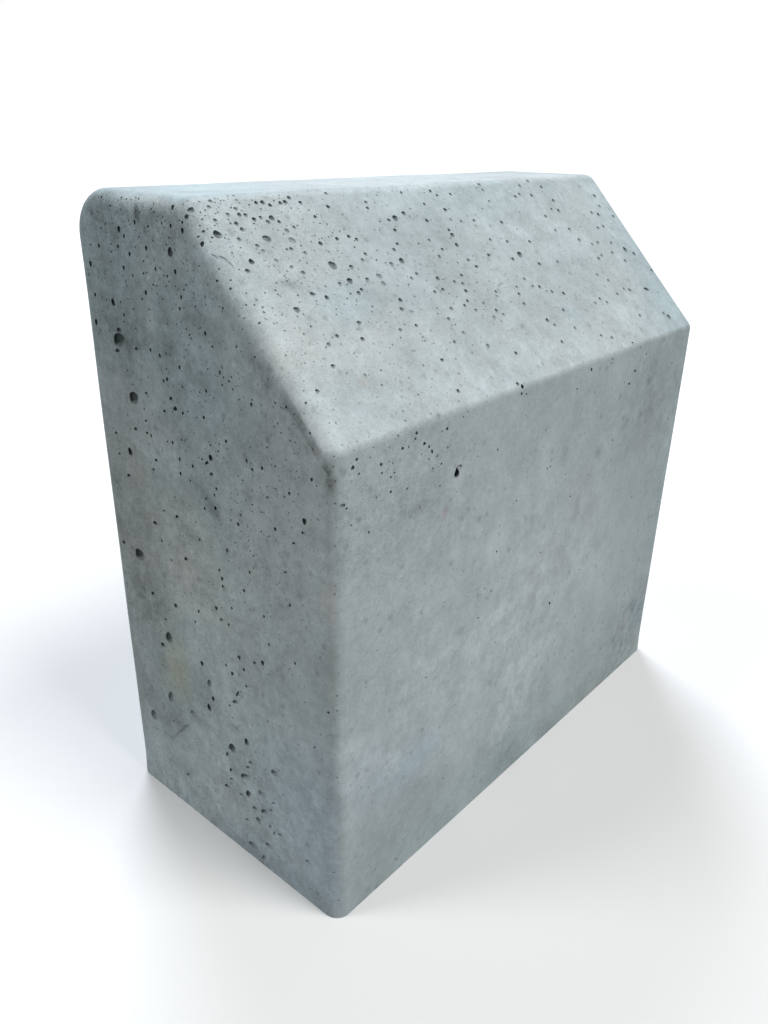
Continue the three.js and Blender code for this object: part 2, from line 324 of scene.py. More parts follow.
# Holes on the road face, at full size: mm from the left end, mm up from the bed, and the rest
# as for the oval ones.
ROAD_OVALS = [
    (72.3, 194.8, 3.7, 3.1, 80, 4.6), (73.4, 196.8, 4.4, 2.8, 15, 0.9), (55, 209, 2.2, 1, 120, 1.4),
    (50, 213.5, 1.8, 1.3, 160, 1.5), (10, 215, 2.0, 1.6, 20, 1.4), (5, 202, 2.3, 1.5, 0, 0.8),
    (45, 219, 1.7, 1.2, 150, 1.1), (179, 218, 2.3, 1.5, 140, 1.2), (117, 219, 1.6, 1.3, 160, 1.1),
    (223, 202, 2.4, 1.2, 163, 1.1), (228, 208, 2.8, 1.5, 160, 1.0), (163, 94, 2.4, 1.3, 136, 1.2),
    (37, 215, 1.6, 1.1, 160, 1.1), (64, 216, 1.8, 1.3, 160, 1.1), (12, 217.5, 1.6, 1.2, 10, 1.0),
    (25, 212, 1.6, 1.3, 170, 1.1), (53, 211.5, 1.4, 1.1, 120, 1.0),
]

# The rows for the splay and the end give a hole's dark middle. Its rim is wider and the hole is
# deeper: for one less than so many mm across, so many times wider and so many times deeper.
SPLAY_RIM = ((1.8, 1.32, 1.62), (2.6, 1.06, 1.11), (9, 1.04, 1.09))
UPPER_END_RIM = ((2.6, 1.1, 1.15), (9, 1.14, 1.19))
MIDDLE_END_RIM = ((1.8, 1.03, 1.08), (9, 1.12, 1.17))
LOWER_END_RIM = ((1.85, 1.1, 1.1), (2.65, 1.25, 1.2), (9, 1.34, 1.2))
# How far down, in mm, the upper and the middle part of the end reach.
UPPER_END = 110
MIDDLE_END = 200
# A round hole's width over its length, and the turns in degrees that its length may have.
SPLAY_ROUND, SPLAY_TURNS = 0.88, (0, 180)
END_ROUND, END_TURNS = 0.7, (70, 110)

SEED = 23
rng = np.random.default_rng(SEED)
Hole = namedtuple("Hole", "point length width turn depth")


def on_face(corner, along, down):
    """A function that turns mm along a face and mm down it, or up it, into a place on it."""
    return lambda u, v: Vector(corner) + along * (u * MM) + down * (v * MM)


on_splay = on_face((LEFT, CREST.y, TOP), RIGHTWARD, SPLAY_FALL)
on_end = on_face((LEFT, BACK, TOP), ROADWARD, DOWN)
on_road_face = on_face((LEFT, ROAD, BED), RIGHTWARD, UP)
on_top = on_face((LEFT, CREST.y, TOP), RIGHTWARD, BACKWARD)
on_back = on_face((LEFT, BACK, BED), RIGHTWARD, UP)
on_far_end = on_face((RIGHT, BACK, BED), ROADWARD, UP)


def rim(across, steps):
    """How much wider and deeper a hole is at its rim than its dark middle is across."""
    return next((wider, deeper) for most, wider, deeper in steps if across < most)


def splay_rim(across, down):
    return rim(across, SPLAY_RIM)


def end_rim(across, down):
    if down < UPPER_END:
        return rim(across, UPPER_END_RIM)
    return rim(across, MIDDLE_END_RIM if down < MIDDLE_END else LOWER_END_RIM)


def full_size(across, down):
    """For rows that give the rim itself."""
    return 1, 1


placed = []
for face, rows, rims, roundness, turns in (
    (on_splay, SPLAY_HOLES, splay_rim, SPLAY_ROUND, SPLAY_TURNS),
    (on_end, END_HOLES, end_rim, END_ROUND, END_TURNS),
):
    for u, v, across, depth in rows:
        wider, deeper = rims(across, v)
        turn = math.radians(rng.uniform(*turns))
        length = across * wider
        placed.append(Hole(face(u, v), length, length * roundness, turn, depth * deeper))
for face, rows, rims in (
    (on_splay, SPLAY_OVALS, splay_rim),
    (on_splay, SPLAY_SCRATCH, full_size),
    (on_end, END_OVALS, end_rim),
    (on_end, END_VOIDS, full_size),
    (on_road_face, ROAD_OVALS, full_size),
):
    for u, v, length, width, turn, depth in rows:
        wider, deeper = rims((length + width) / 2, v)
        turn = math.radians(turn)
        placed.append(Hole(face(u, v), length * wider, width * wider, turn, depth * deeper))

# The scattered holes: the most to a square centimetre, the usual and the least length in mm, the
# width over the length, and the depth over the width. The largest length and the spread of the
# lengths are less on the faces where larger holes are placed one by one.
THICKEST = 12
USUAL = 1.0
SMALLEST = 0.72
WIDTHS = (0.75, 1.0)
DEPTHS = (0.45, 1.15)
BETWEEN_PLACED = (1.35, 0.22)
ALONE = (4.5, 0.45)
# A scattered hole keeps clear of all others: they get so many times their own room, and a gap.
ROOM = 1.1
CLEARANCE = 0.12 * MM

# The faces' sizes in mm, and how thickly each is scattered: so many to a square centimetre
# everywhere, and clusters of more. A cluster's row is its most, where its middle is along and
# down or up the face, how far it reaches along and down or up, and the power of the fall that way.
LENGTH, WIDTH, HEIGHT = (round(side / MM) for side in (RIGHT - LEFT, BACK - ROAD, TOP - BED))
SPLAY_LENGTH = round((KNEE - CREST).length / MM)
KNEE_HEIGHT = round((KNEE.z - BED) / MM)
TOP_WIDTH = round((BACK - CREST.y) / MM)
ENDLESS = math.inf
SPLAY_SCATTER = (0.4, [(7, 0, 0, 56, 60, 2), (1.5, 105, 50, 62, 40, 2)])
END_SCATTER = (
    0.12,
    [
        (0.35, 100, 0, 30, 230, 4),
        (4.2, 58, 0, 42, 62, 2),
        (2.2, 98, 268, 20, 24, 2),
        (1.8, 112, 90, 30, 34, 2),
    ],
)
ROAD_SCATTER = (0.12, [(2.2, 0, 222, 48, 24, 2), (0.2, 120, 222, 200, 20, 2)])
TOP_SCATTER = (0.1, [])
BACK_SCATTER = (0.4, [(1.2, 0, 250, ENDLESS, 60, 2), (0.5, 0, 0, 60, ENDLESS, 2)])
FAR_END_SCATTER = (0.3, [(1.2, 60, 0, 40, ENDLESS, 2), (2.5, 50, 250, 50, 60, 2)])


def density(u, v, everywhere, clusters):
    """Scattered holes to a square centimetre at one place on a face."""
    total = everywhere
    for most, middle_u, middle_v, reach_u, reach_v, fall in clusters:
        away = ((u - middle_u) / reach_u) ** 2 + (abs(v - middle_v) / reach_v) ** fall
        total += most * math.exp(-away)
    return total


def scatter_holes(face, wide, high, scatter):
    """Random points on a face, thick where its density is high."""
    square_centimetres = wide * high / 100
    for u, v, luck in rng.random((int(THICKEST * square_centimetres), 3)):
        point = face(u * wide, v * high)
        above_splay = (point - CREST).dot(SPLAY_NORMAL) > SLACK
        if luck * THICKEST < density(u * wide, v * high, *scatter) and not above_splay:
            yield point


centres = np.array([hole.point for hole in placed])
reaches = np.array([hole.length for hole in placed]) * MM / 2
for face, wide, high, scatter, (largest, spread) in (
    (on_splay, LENGTH, SPLAY_LENGTH, SPLAY_SCATTER, BETWEEN_PLACED),
    (on_end, WIDTH, HEIGHT, END_SCATTER, BETWEEN_PLACED),
    (on_road_face, LENGTH, KNEE_HEIGHT, ROAD_SCATTER, BETWEEN_PLACED),
    (on_top, LENGTH, TOP_WIDTH, TOP_SCATTER, BETWEEN_PLACED),
    (on_back, LENGTH, HEIGHT, BACK_SCATTER, ALONE),
    (on_far_end, WIDTH, HEIGHT, FAR_END_SCATTER, ALONE),
):
    for point in scatter_holes(face, wide, high, scatter):
        length = float(np.clip(USUAL * math.exp(rng.normal(0, spread)), SMALLEST, largest))
        width = length * rng.uniform(*WIDTHS)
        turn = rng.uniform(0, math.pi)
        depth = width * rng.uniform(*DEPTHS)
        gaps = np.linalg.norm(centres - point, axis=1) - ROOM * (reaches + length / 2 * MM)
        if gaps.min() > CLEARANCE:
            placed.append(Hole(point, length, width, turn, depth))
            centres = np.vstack((centres, point))
            reaches = np.append(reaches, length / 2 * MM)


# The balls that cut holes longer than so many mm: how fine their mesh is and how uneven they are.
BALLS = ((3.0, 3, 0.14), (1.36, 2, 0.2), (0, 1, 0.15))
# How closely a ball's lumps follow each other, where they start, and how flat its ends are.
LUMPS = 1.5
LUMPS_FROM = (2, 5)
SQUASH = 0.75
# How far a ball is sunk and how much it slants, by the hole's depth over its width: the rise,
# the start, the least and the most.
SINK = (1.1, -0.5, -0.3, 0.45)
SLANT = (2.5, -0.6, 0, 1)
# Where a slanting hole goes, on the road face and elsewhere.
ROAD_LEAN = Vector((0.35, 0, -0.1))
LEAN = Vector((-0.55, 0.5, 0.5))
# The skin belongs to the road face where its normal points to the road by more than this.
TO_THE_ROAD = 0.9
# Where the sine of the skin's slope is less than this, a hole's turn is measured from X.
FLAT = 0.1
# Runs can number the faces differently, and a hole can be equally near to two, so they are sorted.
skin = BVHTree.FromPolygons(
    [v.co.copy() for v in kerb.data.vertices], sorted(list(p.vertices) for p in kerb.data.polygons)
)


def ball(detail, uneven):
    """A squashed ball of radius 1, out of round by the given amount."""
    bpy.ops.object.select_all(action="DESELECT")
    bpy.ops.mesh.primitive_ico_sphere_add(subdivisions=detail, radius=1, location=(0, 0, 0))
    made = bpy.context.object
    for vertex in made.data.vertices:
        vertex.co *= 1 + uneven * noise.noise(vertex.co * LUMPS + Vector((detail, *LUMPS_FROM)))
        vertex.co.z = math.copysign(abs(vertex.co.z) ** SQUASH, vertex.co.z)
    return made


def ramp(value, rise, start, least, most):
    """A straight rise with the value, held between the least and the most."""
    return min(most, max(least, rise * value + start))


def set_in(hole, surface, normal):
    """The matrix that sets a ball into the face. A deep hole's ball is sunk, so its rim overhangs."""
    deepness = hole.depth / hole.width
    sink = ramp(deepness, *SINK)
    mouth = math.sqrt(1 - sink**2)
    tall = hole.depth / (1 + sink)
    level = UP.cross(normal)
    level = level.normalized() if level.length > FLAT else RIGHTWARD
    rising = normal.cross(level)
    along = level * math.cos(hole.turn) + rising * math.sin(hole.turn)
    across = normal.cross(along)
    lean = ROAD_LEAN if normal.dot(ROADWARD) > TO_THE_ROAD else LEAN
    lean = lean * ramp(deepness, *SLANT)
    inward = (lean - normal * (1 + lean.dot(normal))).normalized()
    axes = Matrix((along, across, -inward)).transposed().to_4x4()
    sizes = Matrix.Diagonal((hole.length / 2 / mouth * MM, hole.width / 2 / mouth * MM, tall * MM, 1))
    return Matrix.Translation(surface + inward * (sink * tall * MM)) @ axes @ sizes


def cut_holes(obj, holes):
    """Copies a ball to each hole, joins the copies and cuts them all from the casting."""
    balls = [(longer_than, ball(detail, uneven)) for longer_than, detail, uneven in BALLS]
    copies = []
    for hole in holes:
        pattern = next(made for longer_than, made in balls if hole.length > longer_than)
        surface, normal = skin.find_nearest(hole.point)[:2]
        copy = pattern.copy()
        copy.data = pattern.data.copy()
        copy.data.transform(set_in(hole, surface, normal))
        bpy.context.collection.objects.link(copy)
        copies.append(copy)
    only(copies[0])
    for copy in copies:
        copy.select_set(True)
    bpy.ops.object.join()
    cutter = bpy.context.object
    cut = obj.modifiers.new("air holes", "BOOLEAN")
    cut.operation = "DIFFERENCE"
    cut.object = cutter
    cut.solver = "MANIFOLD"
    only(obj)
    bpy.ops.object.modifier_apply(modifier=cut.name)
    for spent in (cutter, *(made for longer_than, made in balls)):
        bpy.data.objects.remove(spent)


# Two bubbles ran into each other where they are nearer than this share of their two lengths.
TOUCHING = 0.6


def touch(hole, other):
    return (hole.point - other.point).length <= TOUCHING * (hole.length + other.length) * MM


# Those that touch are cut one after the other, in different goes, and all the rest at once.
goes = []
for hole in placed:
    for go in goes:
        if not any(touch(hole, other) for other in go):
            go.append(hole)
            break
    else:
        goes.append([hole])
for go in goes:
    cut_holes(kerb, go)

# The cut mesh is made of triangles, without slivers narrower than this.
SLIVER = 0.004 * MM
bpy.ops.object.mode_set(mode="EDIT")
bpy.ops.mesh.select_all(action="SELECT")
bpy.ops.mesh.quads_convert_to_tris(quad_method="BEAUTY", ngon_method="BEAUTY")
bpy.ops.mesh.remove_doubles(threshold=SLIVER)
# The casting is closed, so a face with an open side is only a flap that the merging left.
casting = bmesh.from_edit_mesh(kerb.data)
flaps = [face for face in casting.faces if any(side.is_boundary for side in face.edges)]
bmesh.ops.delete(casting, geom=flaps, context="FACES")
bmesh.update_edit_mesh(kerb.data)
bpy.ops.mesh.normals_make_consistent(inside=False)
bpy.ops.object.mode_set(mode="OBJECT")

# Painted shade and grime in the holes of the concrete: the walls of the holes are painted dark,
# and so are deep places and deep floors that face up, where shade falls and dirt settles. A shallow floor
# stays pale.
SHADE_AND_GRIME_DEPTH = 0.5 * MM
DARK_FLOOR_DEPTH = 1.5 * MM
DARK_DEPTH = 3.5 * MM
MOST_SHADE_AND_GRIME = 1.25
FLOOR_SHADE_AND_GRIME = 0.12
hole_shade_and_grime = kerb.data.attributes.new("hole_shade_and_grime", "FLOAT", "POINT")
for vertex in kerb.data.vertices:
    _, normal, _, depth = skin.find_nearest(vertex.co)
    steepness = 1 - vertex.normal.dot(normal)
    dark_floor = max(0, normal.z) * min(1, (depth / DARK_FLOOR_DEPTH) ** 2)
    shade_and_grime = min(MOST_SHADE_AND_GRIME, FLOOR_SHADE_AND_GRIME + dark_floor + steepness + (depth / DARK_DEPTH) ** 2)
    hole_shade_and_grime.data[vertex.index].value = min(1, depth / SHADE_AND_GRIME_DEPTH) * shade_and_grime


# ----------------------------------------
# The concrete
# Pale grey concrete as it left the mould: a clouded skin of cement, bluish where
# it stayed damp and warmer where the sand shows, peppered with pores too small to
# cut, with a few smudges and stains, and dark inside the holes. The holes are dark
# with painted shade and some grime, and the pores with painted shade. Broad marks
# paint light and shade over the end, the road face and the knee, and a violet tinge
# paints bluish light from the floor at the foot.

# The colour, and what it is multiplied by where it is bluish and where it is sandy.
CEMENT = (0.425, 0.474, 0.492)
BLUISH = (0.925, 1.0, 1.015, 1)
SANDY = (1.065, 1.0, 0.97, 1)
# What a full tinge adds to the red, the green and the blue, as shares of them.
VIOLET = (-0.03, -0.005, 0.085)
PINK = (-0.03, -0.13, -0.09)
# How much darker a hole's wall is painted than the face around it, as painted shade with some grime.
HOLE_SHADE_AND_GRIME = 0.68
SPLAY_HOLE_SHADE_AND_GRIME = 0.5
# How dull the surface is, how much that varies with the fine clouds, and their relief.
DULL = 0.85
DULL_RANGE = 0.8
RELIEF = 0.3 * MM
# Edges between flats that turn further than this stay sharp, such as the rim of a hole.
SHARPEST = math.radians(35)

concrete = bpy.data.materials.new("concrete")
concrete.use_nodes = True
tree = concrete.node_tree
place = tree.nodes.new("ShaderNodeTexCoord").outputs["Object"]


def feed(socket, value):
    """Link a socket to another one, or set it to a plain value."""
    if isinstance(value, bpy.types.NodeSocket):
        tree.links.new(value, socket)
    else:
        socket.default_value = value


def maths(operation, *terms):
    made = tree.nodes.new("ShaderNodeMath")
    made.operation = operation
    for socket, term in zip(made.inputs, terms):
        feed(socket, term)
    return made.outputs[0]


def vector_maths(operation, *terms):
    made = tree.nodes.new("ShaderNodeVectorMath")
    made.operation = operation
    for socket, term in zip(made.inputs, terms):
        feed(socket, term)
    return made.outputs["Value" if operation in ("DOT_PRODUCT", "LENGTH") else "Vector"]


def times(product, *others):
    for other in others:
        product = maths("MULTIPLY", product, other)
    return product


def plus(total, part, share):
    """The total with a share of the part added to it."""
    return maths("MULTIPLY_ADD", part, share, total)


def one_minus(value):
    return maths("SUBTRACT", 1.0, value)


def scaled(vector, amount):
    made = vector_maths("SCALE", vector)
    feed(made.node.inputs["Scale"], amount)
    return made


def between(value, start, finish):
    """A soft step: 0 where the value is at start, 1 where it is at finish."""
    step = tree.nodes.new("ShaderNodeMapRange")
    step.interpolation_type = "SMOOTHSTEP"
    feed(step.inputs["Value"], value)
    step.inputs["From Min"].default_value = start
    step.inputs["From Max"].default_value = finish
    return step.outputs["Result"]


def blend(amount, a, b):
    """Mixes two values: a where the amount is 0, b where it is 1."""
    made = tree.nodes.new("ShaderNodeMix")
    made.data_type = "FLOAT"
    feed(made.inputs["Factor"], amount)
    feed(made.inputs["A"], a)
    feed(made.inputs["B"], b)
    return made.outputs["Result"]


def clouds(size, detail=2.0, rough=0.5, vector=place):
    """Cloudy unevenness about zero, its largest clouds the given size in mm."""
    made = tree.nodes.new("ShaderNodeTexNoise")
    feed(made.inputs["Vector"], vector)
    made.inputs["Scale"].default_value = 1 / (size * MM)
    made.inputs["Detail"].default_value = detail
    made.inputs["Roughness"].default_value = rough
    return maths("SUBTRACT", made.outputs["Fac"], 0.5)


# Which face a point is on, from how far it is behind each face's plane. A mask is gone at the
# first depth, below the deepest hole of its face, and full from the second one up. Depths are
# negative behind the splay, whose mask also fades in across the middle of the crest and the knee.
END_FADE = (4.5 * MM, 1.0 * MM)
ROAD_FADE = (5 * MM, 2.8 * MM)
TOP_FADE = (3 * MM, 1 * MM)
SPLAY_FADE = (-5 * MM, -2.8 * MM)
EDGE_FADE = (-0.5 * MM, 1.0 * MM)
parts = tree.nodes.new("ShaderNodeSeparateXYZ")
feed(parts.inputs[0], place)
place_x, place_y, place_z = (parts.outputs[axis] for axis in "XYZ")
end_gap = maths("MINIMUM", maths("SUBTRACT", place_x, LEFT), maths("SUBTRACT", RIGHT, place_x))
road_gap = maths("SUBTRACT", place_y, ROAD)
top_gap = maths("SUBTRACT", TOP, place_z)
splay_gap = vector_maths("DOT_PRODUCT", vector_maths("SUBTRACT", place, CREST), SPLAY_NORMAL)
above_knee = between(maths("ADD", splay_gap, road_gap), *EDGE_FADE)
below_crest = between(maths("ADD", splay_gap, top_gap), *EDGE_FADE)
end_face = between(end_gap, *END_FADE)
splay_face = times(between(splay_gap, *SPLAY_FADE), one_minus(end_face), above_knee, below_crest)
top_face = times(between(top_gap, *TOP_FADE), one_minus(splay_face))
road_face = times(between(road_gap, *ROAD_FADE), one_minus(end_face), one_minus(splay_face))
left_end = times(end_face, between(place_x, 0.0, LEFT))
top_left = times(top_face, between(place_x, LEFT + 90 * MM, LEFT + 10 * MM))


def by_face(elsewhere, road=None, splay=None, end=None):
    """A value that is different on some faces."""
    value = elsewhere
    for mask, here in ((road_face, road), (splay_face, splay), (end_face, end)):
        if here is not None:
            value = blend(mask, value, here)
    return value


# Marks are soft ovals on a face. A row is mm along the face and mm down it, half the length,
# half the width, the turn in degrees and the strength. A mark is full only in its middle, and
# its edge wavers in waves of this size.
FULL_WITHIN = 0.1
WAVER = 16 * MM
waver = tree.nodes.new("ShaderNodeTexNoise")
feed(waver.inputs["Vector"], place)
waver.inputs["Scale"].default_value = 1 / WAVER
waver.inputs["Detail"].default_value = 4


def face_grid(origin, along, down, wander=14):
    """Millimetres along and down a face, warped so that marks have uneven edges."""
    reach = vector_maths("SUBTRACT", place, origin)
    grid = tree.nodes.new("ShaderNodeCombineXYZ")
    feed(grid.inputs[0], vector_maths("DOT_PRODUCT", reach, along / MM))
    feed(grid.inputs[1], vector_maths("DOT_PRODUCT", reach, down / MM))
    most = (wander, wander, 0)
    centred = (-wander / 2, -wander / 2, 0)
    warp = vector_maths("MULTIPLY_ADD", waver.outputs["Color"], most, centred)
    return vector_maths("ADD", grid.outputs[0], warp)


def marks(grid, rows):
    """Adds up soft-edged marks on a face."""
    total = 0.0
    for along, down, length, width, turn, amount in rows:
        if turn:
            spot = tree.nodes.new("ShaderNodeMapping")
            spot.vector_type = "TEXTURE"
            feed(spot.inputs["Vector"], grid)
            spot.inputs["Location"].default_value = (along, down, 0)
            spot.inputs["Rotation"].default_value = (0, 0, math.radians(turn))
            spot.inputs["Scale"].default_value = (length, width, 1)
            reach = spot.outputs[0]
        else:
            shrink = (1 / length, 1 / width, 0)
            shift = (-along / length, -down / width, 0)
            reach = vector_maths("MULTIPLY_ADD", grid, shrink, shift)
        total = plus(total, between(vector_maths("LENGTH", reach), 1.0, FULL_WITHIN), amount)
    return total


splay_grid = face_grid((LEFT, CREST.y, TOP), RIGHTWARD, SPLAY_FALL)
end_grid = face_grid((LEFT, BACK, TOP), ROADWARD, DOWN)
sharp_end_grid = face_grid((LEFT, BACK, TOP), ROADWARD, DOWN, wander=2)
road_grid = face_grid((LEFT, ROAD, KNEE.z), RIGHTWARD, DOWN)


def on_faces(splay_rows, end_rows, road_rows):
    """Marks on the splay, the left-hand end and the road face together."""
    total = times(splay_face, marks(splay_grid, splay_rows))
    total = plus(total, left_end, marks(end_grid, end_rows))
    return plus(total, road_face, marks(road_grid, road_rows))


# The unevenness of the tone is clouds of several sizes. It is strong on the ends, but for a calm
# strip beside the arris, and weak on the road face, most of all on its right, but its upper left
# corner is busy. The upper left of the splay, the left-hand end and the road face is gritty.
# Streaks run down the stone. The top is a little paler, but darker at its left.
CALM = [(150, 200, 60, 170, 0, 0.35)]
BUSY = [(25, 30, 80, 60, 0, 0.6), (230, 130, 90, 90, 0, -0.3)]
SPLAY_GRIT = [(0, 10, 90, 80, 0, 0.35)]
END_GRIT = [(40, 0, 90, 70, 0, 0.35), (36, 4, 50, 20, 0, 0.3)]
ROAD_GRIT = [(20, 20, 80, 70, 0, 0.2)]
STREAK_TILT = math.radians(-9)
STREAK_STRETCH = 0.16
strength = by_face(1.2, road=0.9, splay=1.1, end=1.75)
strength = times(strength, one_minus(times(left_end, marks(end_grid, CALM))))
strength = plus(strength, road_face, marks(road_grid, BUSY))
corner_grit = on_faces(SPLAY_GRIT, END_GRIT, ROAD_GRIT)
grit = maths("ADD", by_face(0.2, road=0.05), corner_grit)
fine = clouds(40, detail=7, rough=0.93)
grain = clouds(0.9, detail=2, rough=0.7)
broad = clouds(85, detail=2)
patches = between(clouds(28, detail=5, rough=0.62), 0.0, 0.14)
uneven = 0.0
for layer, share in ((fine, 1.25), (grain, grit), (broad, 0.3), (patches, -0.035)):
    uneven = plus(uneven, layer, share)
slanted = tree.nodes.new("ShaderNodeMapping")
feed(slanted.inputs["Vector"], place)
slanted.inputs["Rotation"].default_value = (0, STREAK_TILT, 0)
slanted.inputs["Scale"].default_value = (1, 1, STREAK_STRETCH)
streaks = clouds(11, detail=3, rough=0.6, vector=slanted.outputs[0])
base_tone = blend(top_left, blend(top_face, 1.0, 1.05), 0.95)
tone = plus(plus(base_tone, uneven, strength), streaks, by_face(0.1, splay=0.02))

# Smudges are darker above zero and paler below it. Most are marks on the concrete, but the broad
# ones on the end paint shade over its back and upper part and light at its foot, the broad ones on
# the road face paint shade on its right and light over its middle, and a long pale band on the
# splay paints a highlight along the knee.
SPLAY_SMUDGES_AND_HIGHLIGHT = [
    (26, 41, 9, 6, 0, 0.10), (32, 87, 4, 3, 0, 0.16), (130, 66, 8, 16, 0, 0.07),
    (109, 45, 13, 20, 10, 0.06), (195, 54, 62, 5, 3, 0.05), (60, 48, 62, 22, 0, 0.05),
    (150, 106, 200, 28, 0, -0.12), (185, 22, 62, 32, 0, -0.13), (290, 20, 52, 42, 0, -0.08),
    (20, 40, 11, 14, 0, 0.12), (220, 66, 42, 20, 0, 0.12), (130, 33, 28, 24, 0, 0.1),
    (78, 56, 28, 12, 0, 0.09), (237, 36, 18, 24, 0, -0.11), (246, 95, 30, 18, 0, -0.16),
    (214, 10, 36, 22, 0, -0.1), (0, 75, 34, 60, 0, -0.14), (150, 72, 260, 46, 0, -0.06),
    (200, 45, 60, 34, 0, -0.06), (258, 70, 22, 28, 0, -0.1), (0, 12, 26, 24, 0, -0.06),
    (90, 4, 130, 16, 0, -0.12), (26, 61, 26, 13, 0, 0.1), (108, 57, 9, 7, 0, 0.09),
    (123, 20, 10, 13, 0, -0.08), (282, 8, 12, 8, 0, -0.12), (205, 91, 16, 11, 0, -0.09),
    (284, 90, 16, 34, 0, -0.1),
]
END_SMUDGES_LIGHT_AND_SHADE = [
    (80, 117, 25, 5, 39, 0.28), (88, 101, 13, 5, 35, 0.14), (133, 84, 16, 4, 57, 0.16),
    (105, 45, 44, 4, 46, 0.13), (34, 6, 34, 6, 0, 0.06), (-20, 90, 120, 230, 0, 0.1),
    (60, 38, 60, 55, 0, 0.18), (-8, 200, 45, 120, 0, 0.14), (112, 205, 90, 120, 0, -0.1),
    (110, 310, 160, 80, 0, -0.12), (62, 12, 15, 14, 0, 0.22), (88, 17, 18, 12, 40, -0.22),
    (79, 26, 14, 11, 45, -0.16), (29, 56, 27, 20, 0, 0.26), (77, 63, 34, 42, 0, 0.14),
    (86, 57, 12, 10, 0, -0.12), (132, 92, 22, 16, 0, 0.13), (61, 134, 20, 22, 0, -0.3),
    (24, 147, 22, 15, 0, 0.2), (33, 186, 22, 24, 0, 0.2), (20, 169, 7, 9, 0, -0.1),
    (20, 185, 26, 50, 0, 0.1), (64, 236, 34, 16, 0, -0.19), (84, 254, 24, 18, 0, -0.22),
    (134, 238, 36, 40, 0, -0.15), (136, 110, 18, 80, 0, -0.05), (75, 150, 70, 34, 0, -0.08),
    (95, 275, 80, 60, 0, -0.08), (33, 12, 18, 12, 0, 0.05), (12, 294, 60, 24, 0, -0.2),
    (125, 292, 26, 14, 0, 0.15), (36, 250, 26, 18, 0, 0.11), (122, 166, 10, 20, 0, -0.1),
    (57, 281, 6, 6, 0, 0.14),
]
ROAD_SMUDGES_LIGHT_AND_SHADE = [
    (162, 43, 5, 9, 0, 0.1), (196, 52, 5, 8, 0, 0.15), (180, 80, 5, 9, 0, 0.17), (174, 81, 5, 4, 0, 0.08),
    (80, 108, 5, 7, 0, 0.15), (159, 126, 4, 6, 0, 0.16), (94, 96, 4, 8, 0, 0.12),
    (33, 112, 4, 9, 0, 0.12), (255, 17, 8, 6, 0, 0.09), (245, 24, 5, 5, 0, 0.08),
    (241, 40, 6, 5, 0, 0.08), (81, 109, 6, 5, 0, 0.07), (55, 149, 6, 6, 0, 0.07),
    (100, 63, 6, 5, 0, 0.06), (74, 189, 6, 6, 0, 0.08), (200, 170, 8, 8, 0, 0.06),
    (310, 90, 110, 170, 0, 0.15), (4, 42, 6, 28, 0, 0.1), (100, 35, 70, 45, 0, -0.04),
    (262, 15, 70, 60, 0, 0.08), (135, 115, 200, 90, 0, -0.17), (132, 118, 42, 36, 0, -0.07),
    (212, 165, 22, 50, 0, 0.08), (34, 202, 22, 18, 0, -0.08), (78, 36, 14, 28, 0, -0.12),
    (136, 70, 16, 16, 0, -0.1), (60, 120, 36, 28, 0, -0.12), (38, 150, 18, 30, 0, -0.18),
    (2, 152, 30, 60, 0, -0.16), (131, 178, 30, 40, 12, -0.2), (86, 92, 24, 34, 0, 0.14),
    (268, 190, 50, 46, 0, 0.22), (120, 141, 18, 14, 0, -0.12), (59, 20, 10, 8, 0, -0.1),
    (17, 34, 9, 9, 0, -0.12), (192, 20, 24, 16, 0, 0.09), (248, 19, 18, 10, 0, 0.1),
    (237, 88, 20, 26, 0, 0.09), (262, 166, 30, 20, 0, -0.1), (50, 82, 10, 12, 0, -0.09),
    (225, 45, 60, 30, 0, 0.1), (150, 217, 50, 18, 0, 0.16), (240, 218, 90, 16, 0, 0.12),
]
# Scratches and sharper marks on the left-hand end.
SHARP_END_MARKS = [
    (41, 253, 15, 1.3, -48, 0.3), (47, 246, 9, 1.2, -35, 0.25), (46, 3, 24, 6, 0, -0.27),
    (147, 85, 2.5, 10, 0, 0.25), (48, 7.5, 2.6, 5.5, -8, 0.5),
]
# Dark lines on that end: beside the splay, by the knee and beside the arris. A row is
# how dark the line is, and the limits that it lies between, each fading in from the first to the
# second distance in mm.
DARK_LINES = [
    (0.16, (splay_gap, -16, -12), (splay_gap, -6, -9.5), (place_z, 258, 243)),
    (0.35, (splay_gap, -9, -7.5), (splay_gap, -4, -5.5), (place_z, 252, 226), (road_gap, 2, 5)),
    (0.13, (road_gap, 6, 3.5), (road_gap, 0.5, 1.6), (place_z, 40, 150)),
]
end_marks_and_lines = marks(sharp_end_grid, SHARP_END_MARKS)
for darkness, *limits in DARK_LINES:
    line = times(*(between(gap, start * MM, finish * MM) for gap, start, finish in limits))
    end_marks_and_lines = plus(end_marks_and_lines, line, darkness)
# How much fine clouds break up the smudges, with their painted light and shade, and the end's marks and
# dark lines.
RAGGED = 4.5
# The smudges, some of them painted light and shade, and the end's marks and dark lines change the tone.
smudges_light_and_shade = plus(on_faces(SPLAY_SMUDGES_AND_HIGHLIGHT, END_SMUDGES_LIGHT_AND_SHADE, ROAD_SMUDGES_LIGHT_AND_SHADE), left_end, end_marks_and_lines)
broken = plus(1.0, clouds(9, detail=6, rough=0.72), RAGGED)
tone = times(tone, one_minus(times(smudges_light_and_shade, broken)))

# Pores too small to cut are dark specks in two sizes, and shallow dents are faint soft spots,
# their darkness painted shade: the spacing in mm, how many of the places have one, where its edge
# begins and where it is full, as shares of its radius, and how dark it is. The radius is a share of the
# spacing.
PORES = ((2.3, 0.27, 1.3, 0.8, 0.45), (1.15, 0.33, 1.3, 0.8, 0.45), (6.5, 0.6, 1.8, 0.3, 0.22))
SMALLEST_SPECK = 0.07
SPECK_RANGE = 0.14
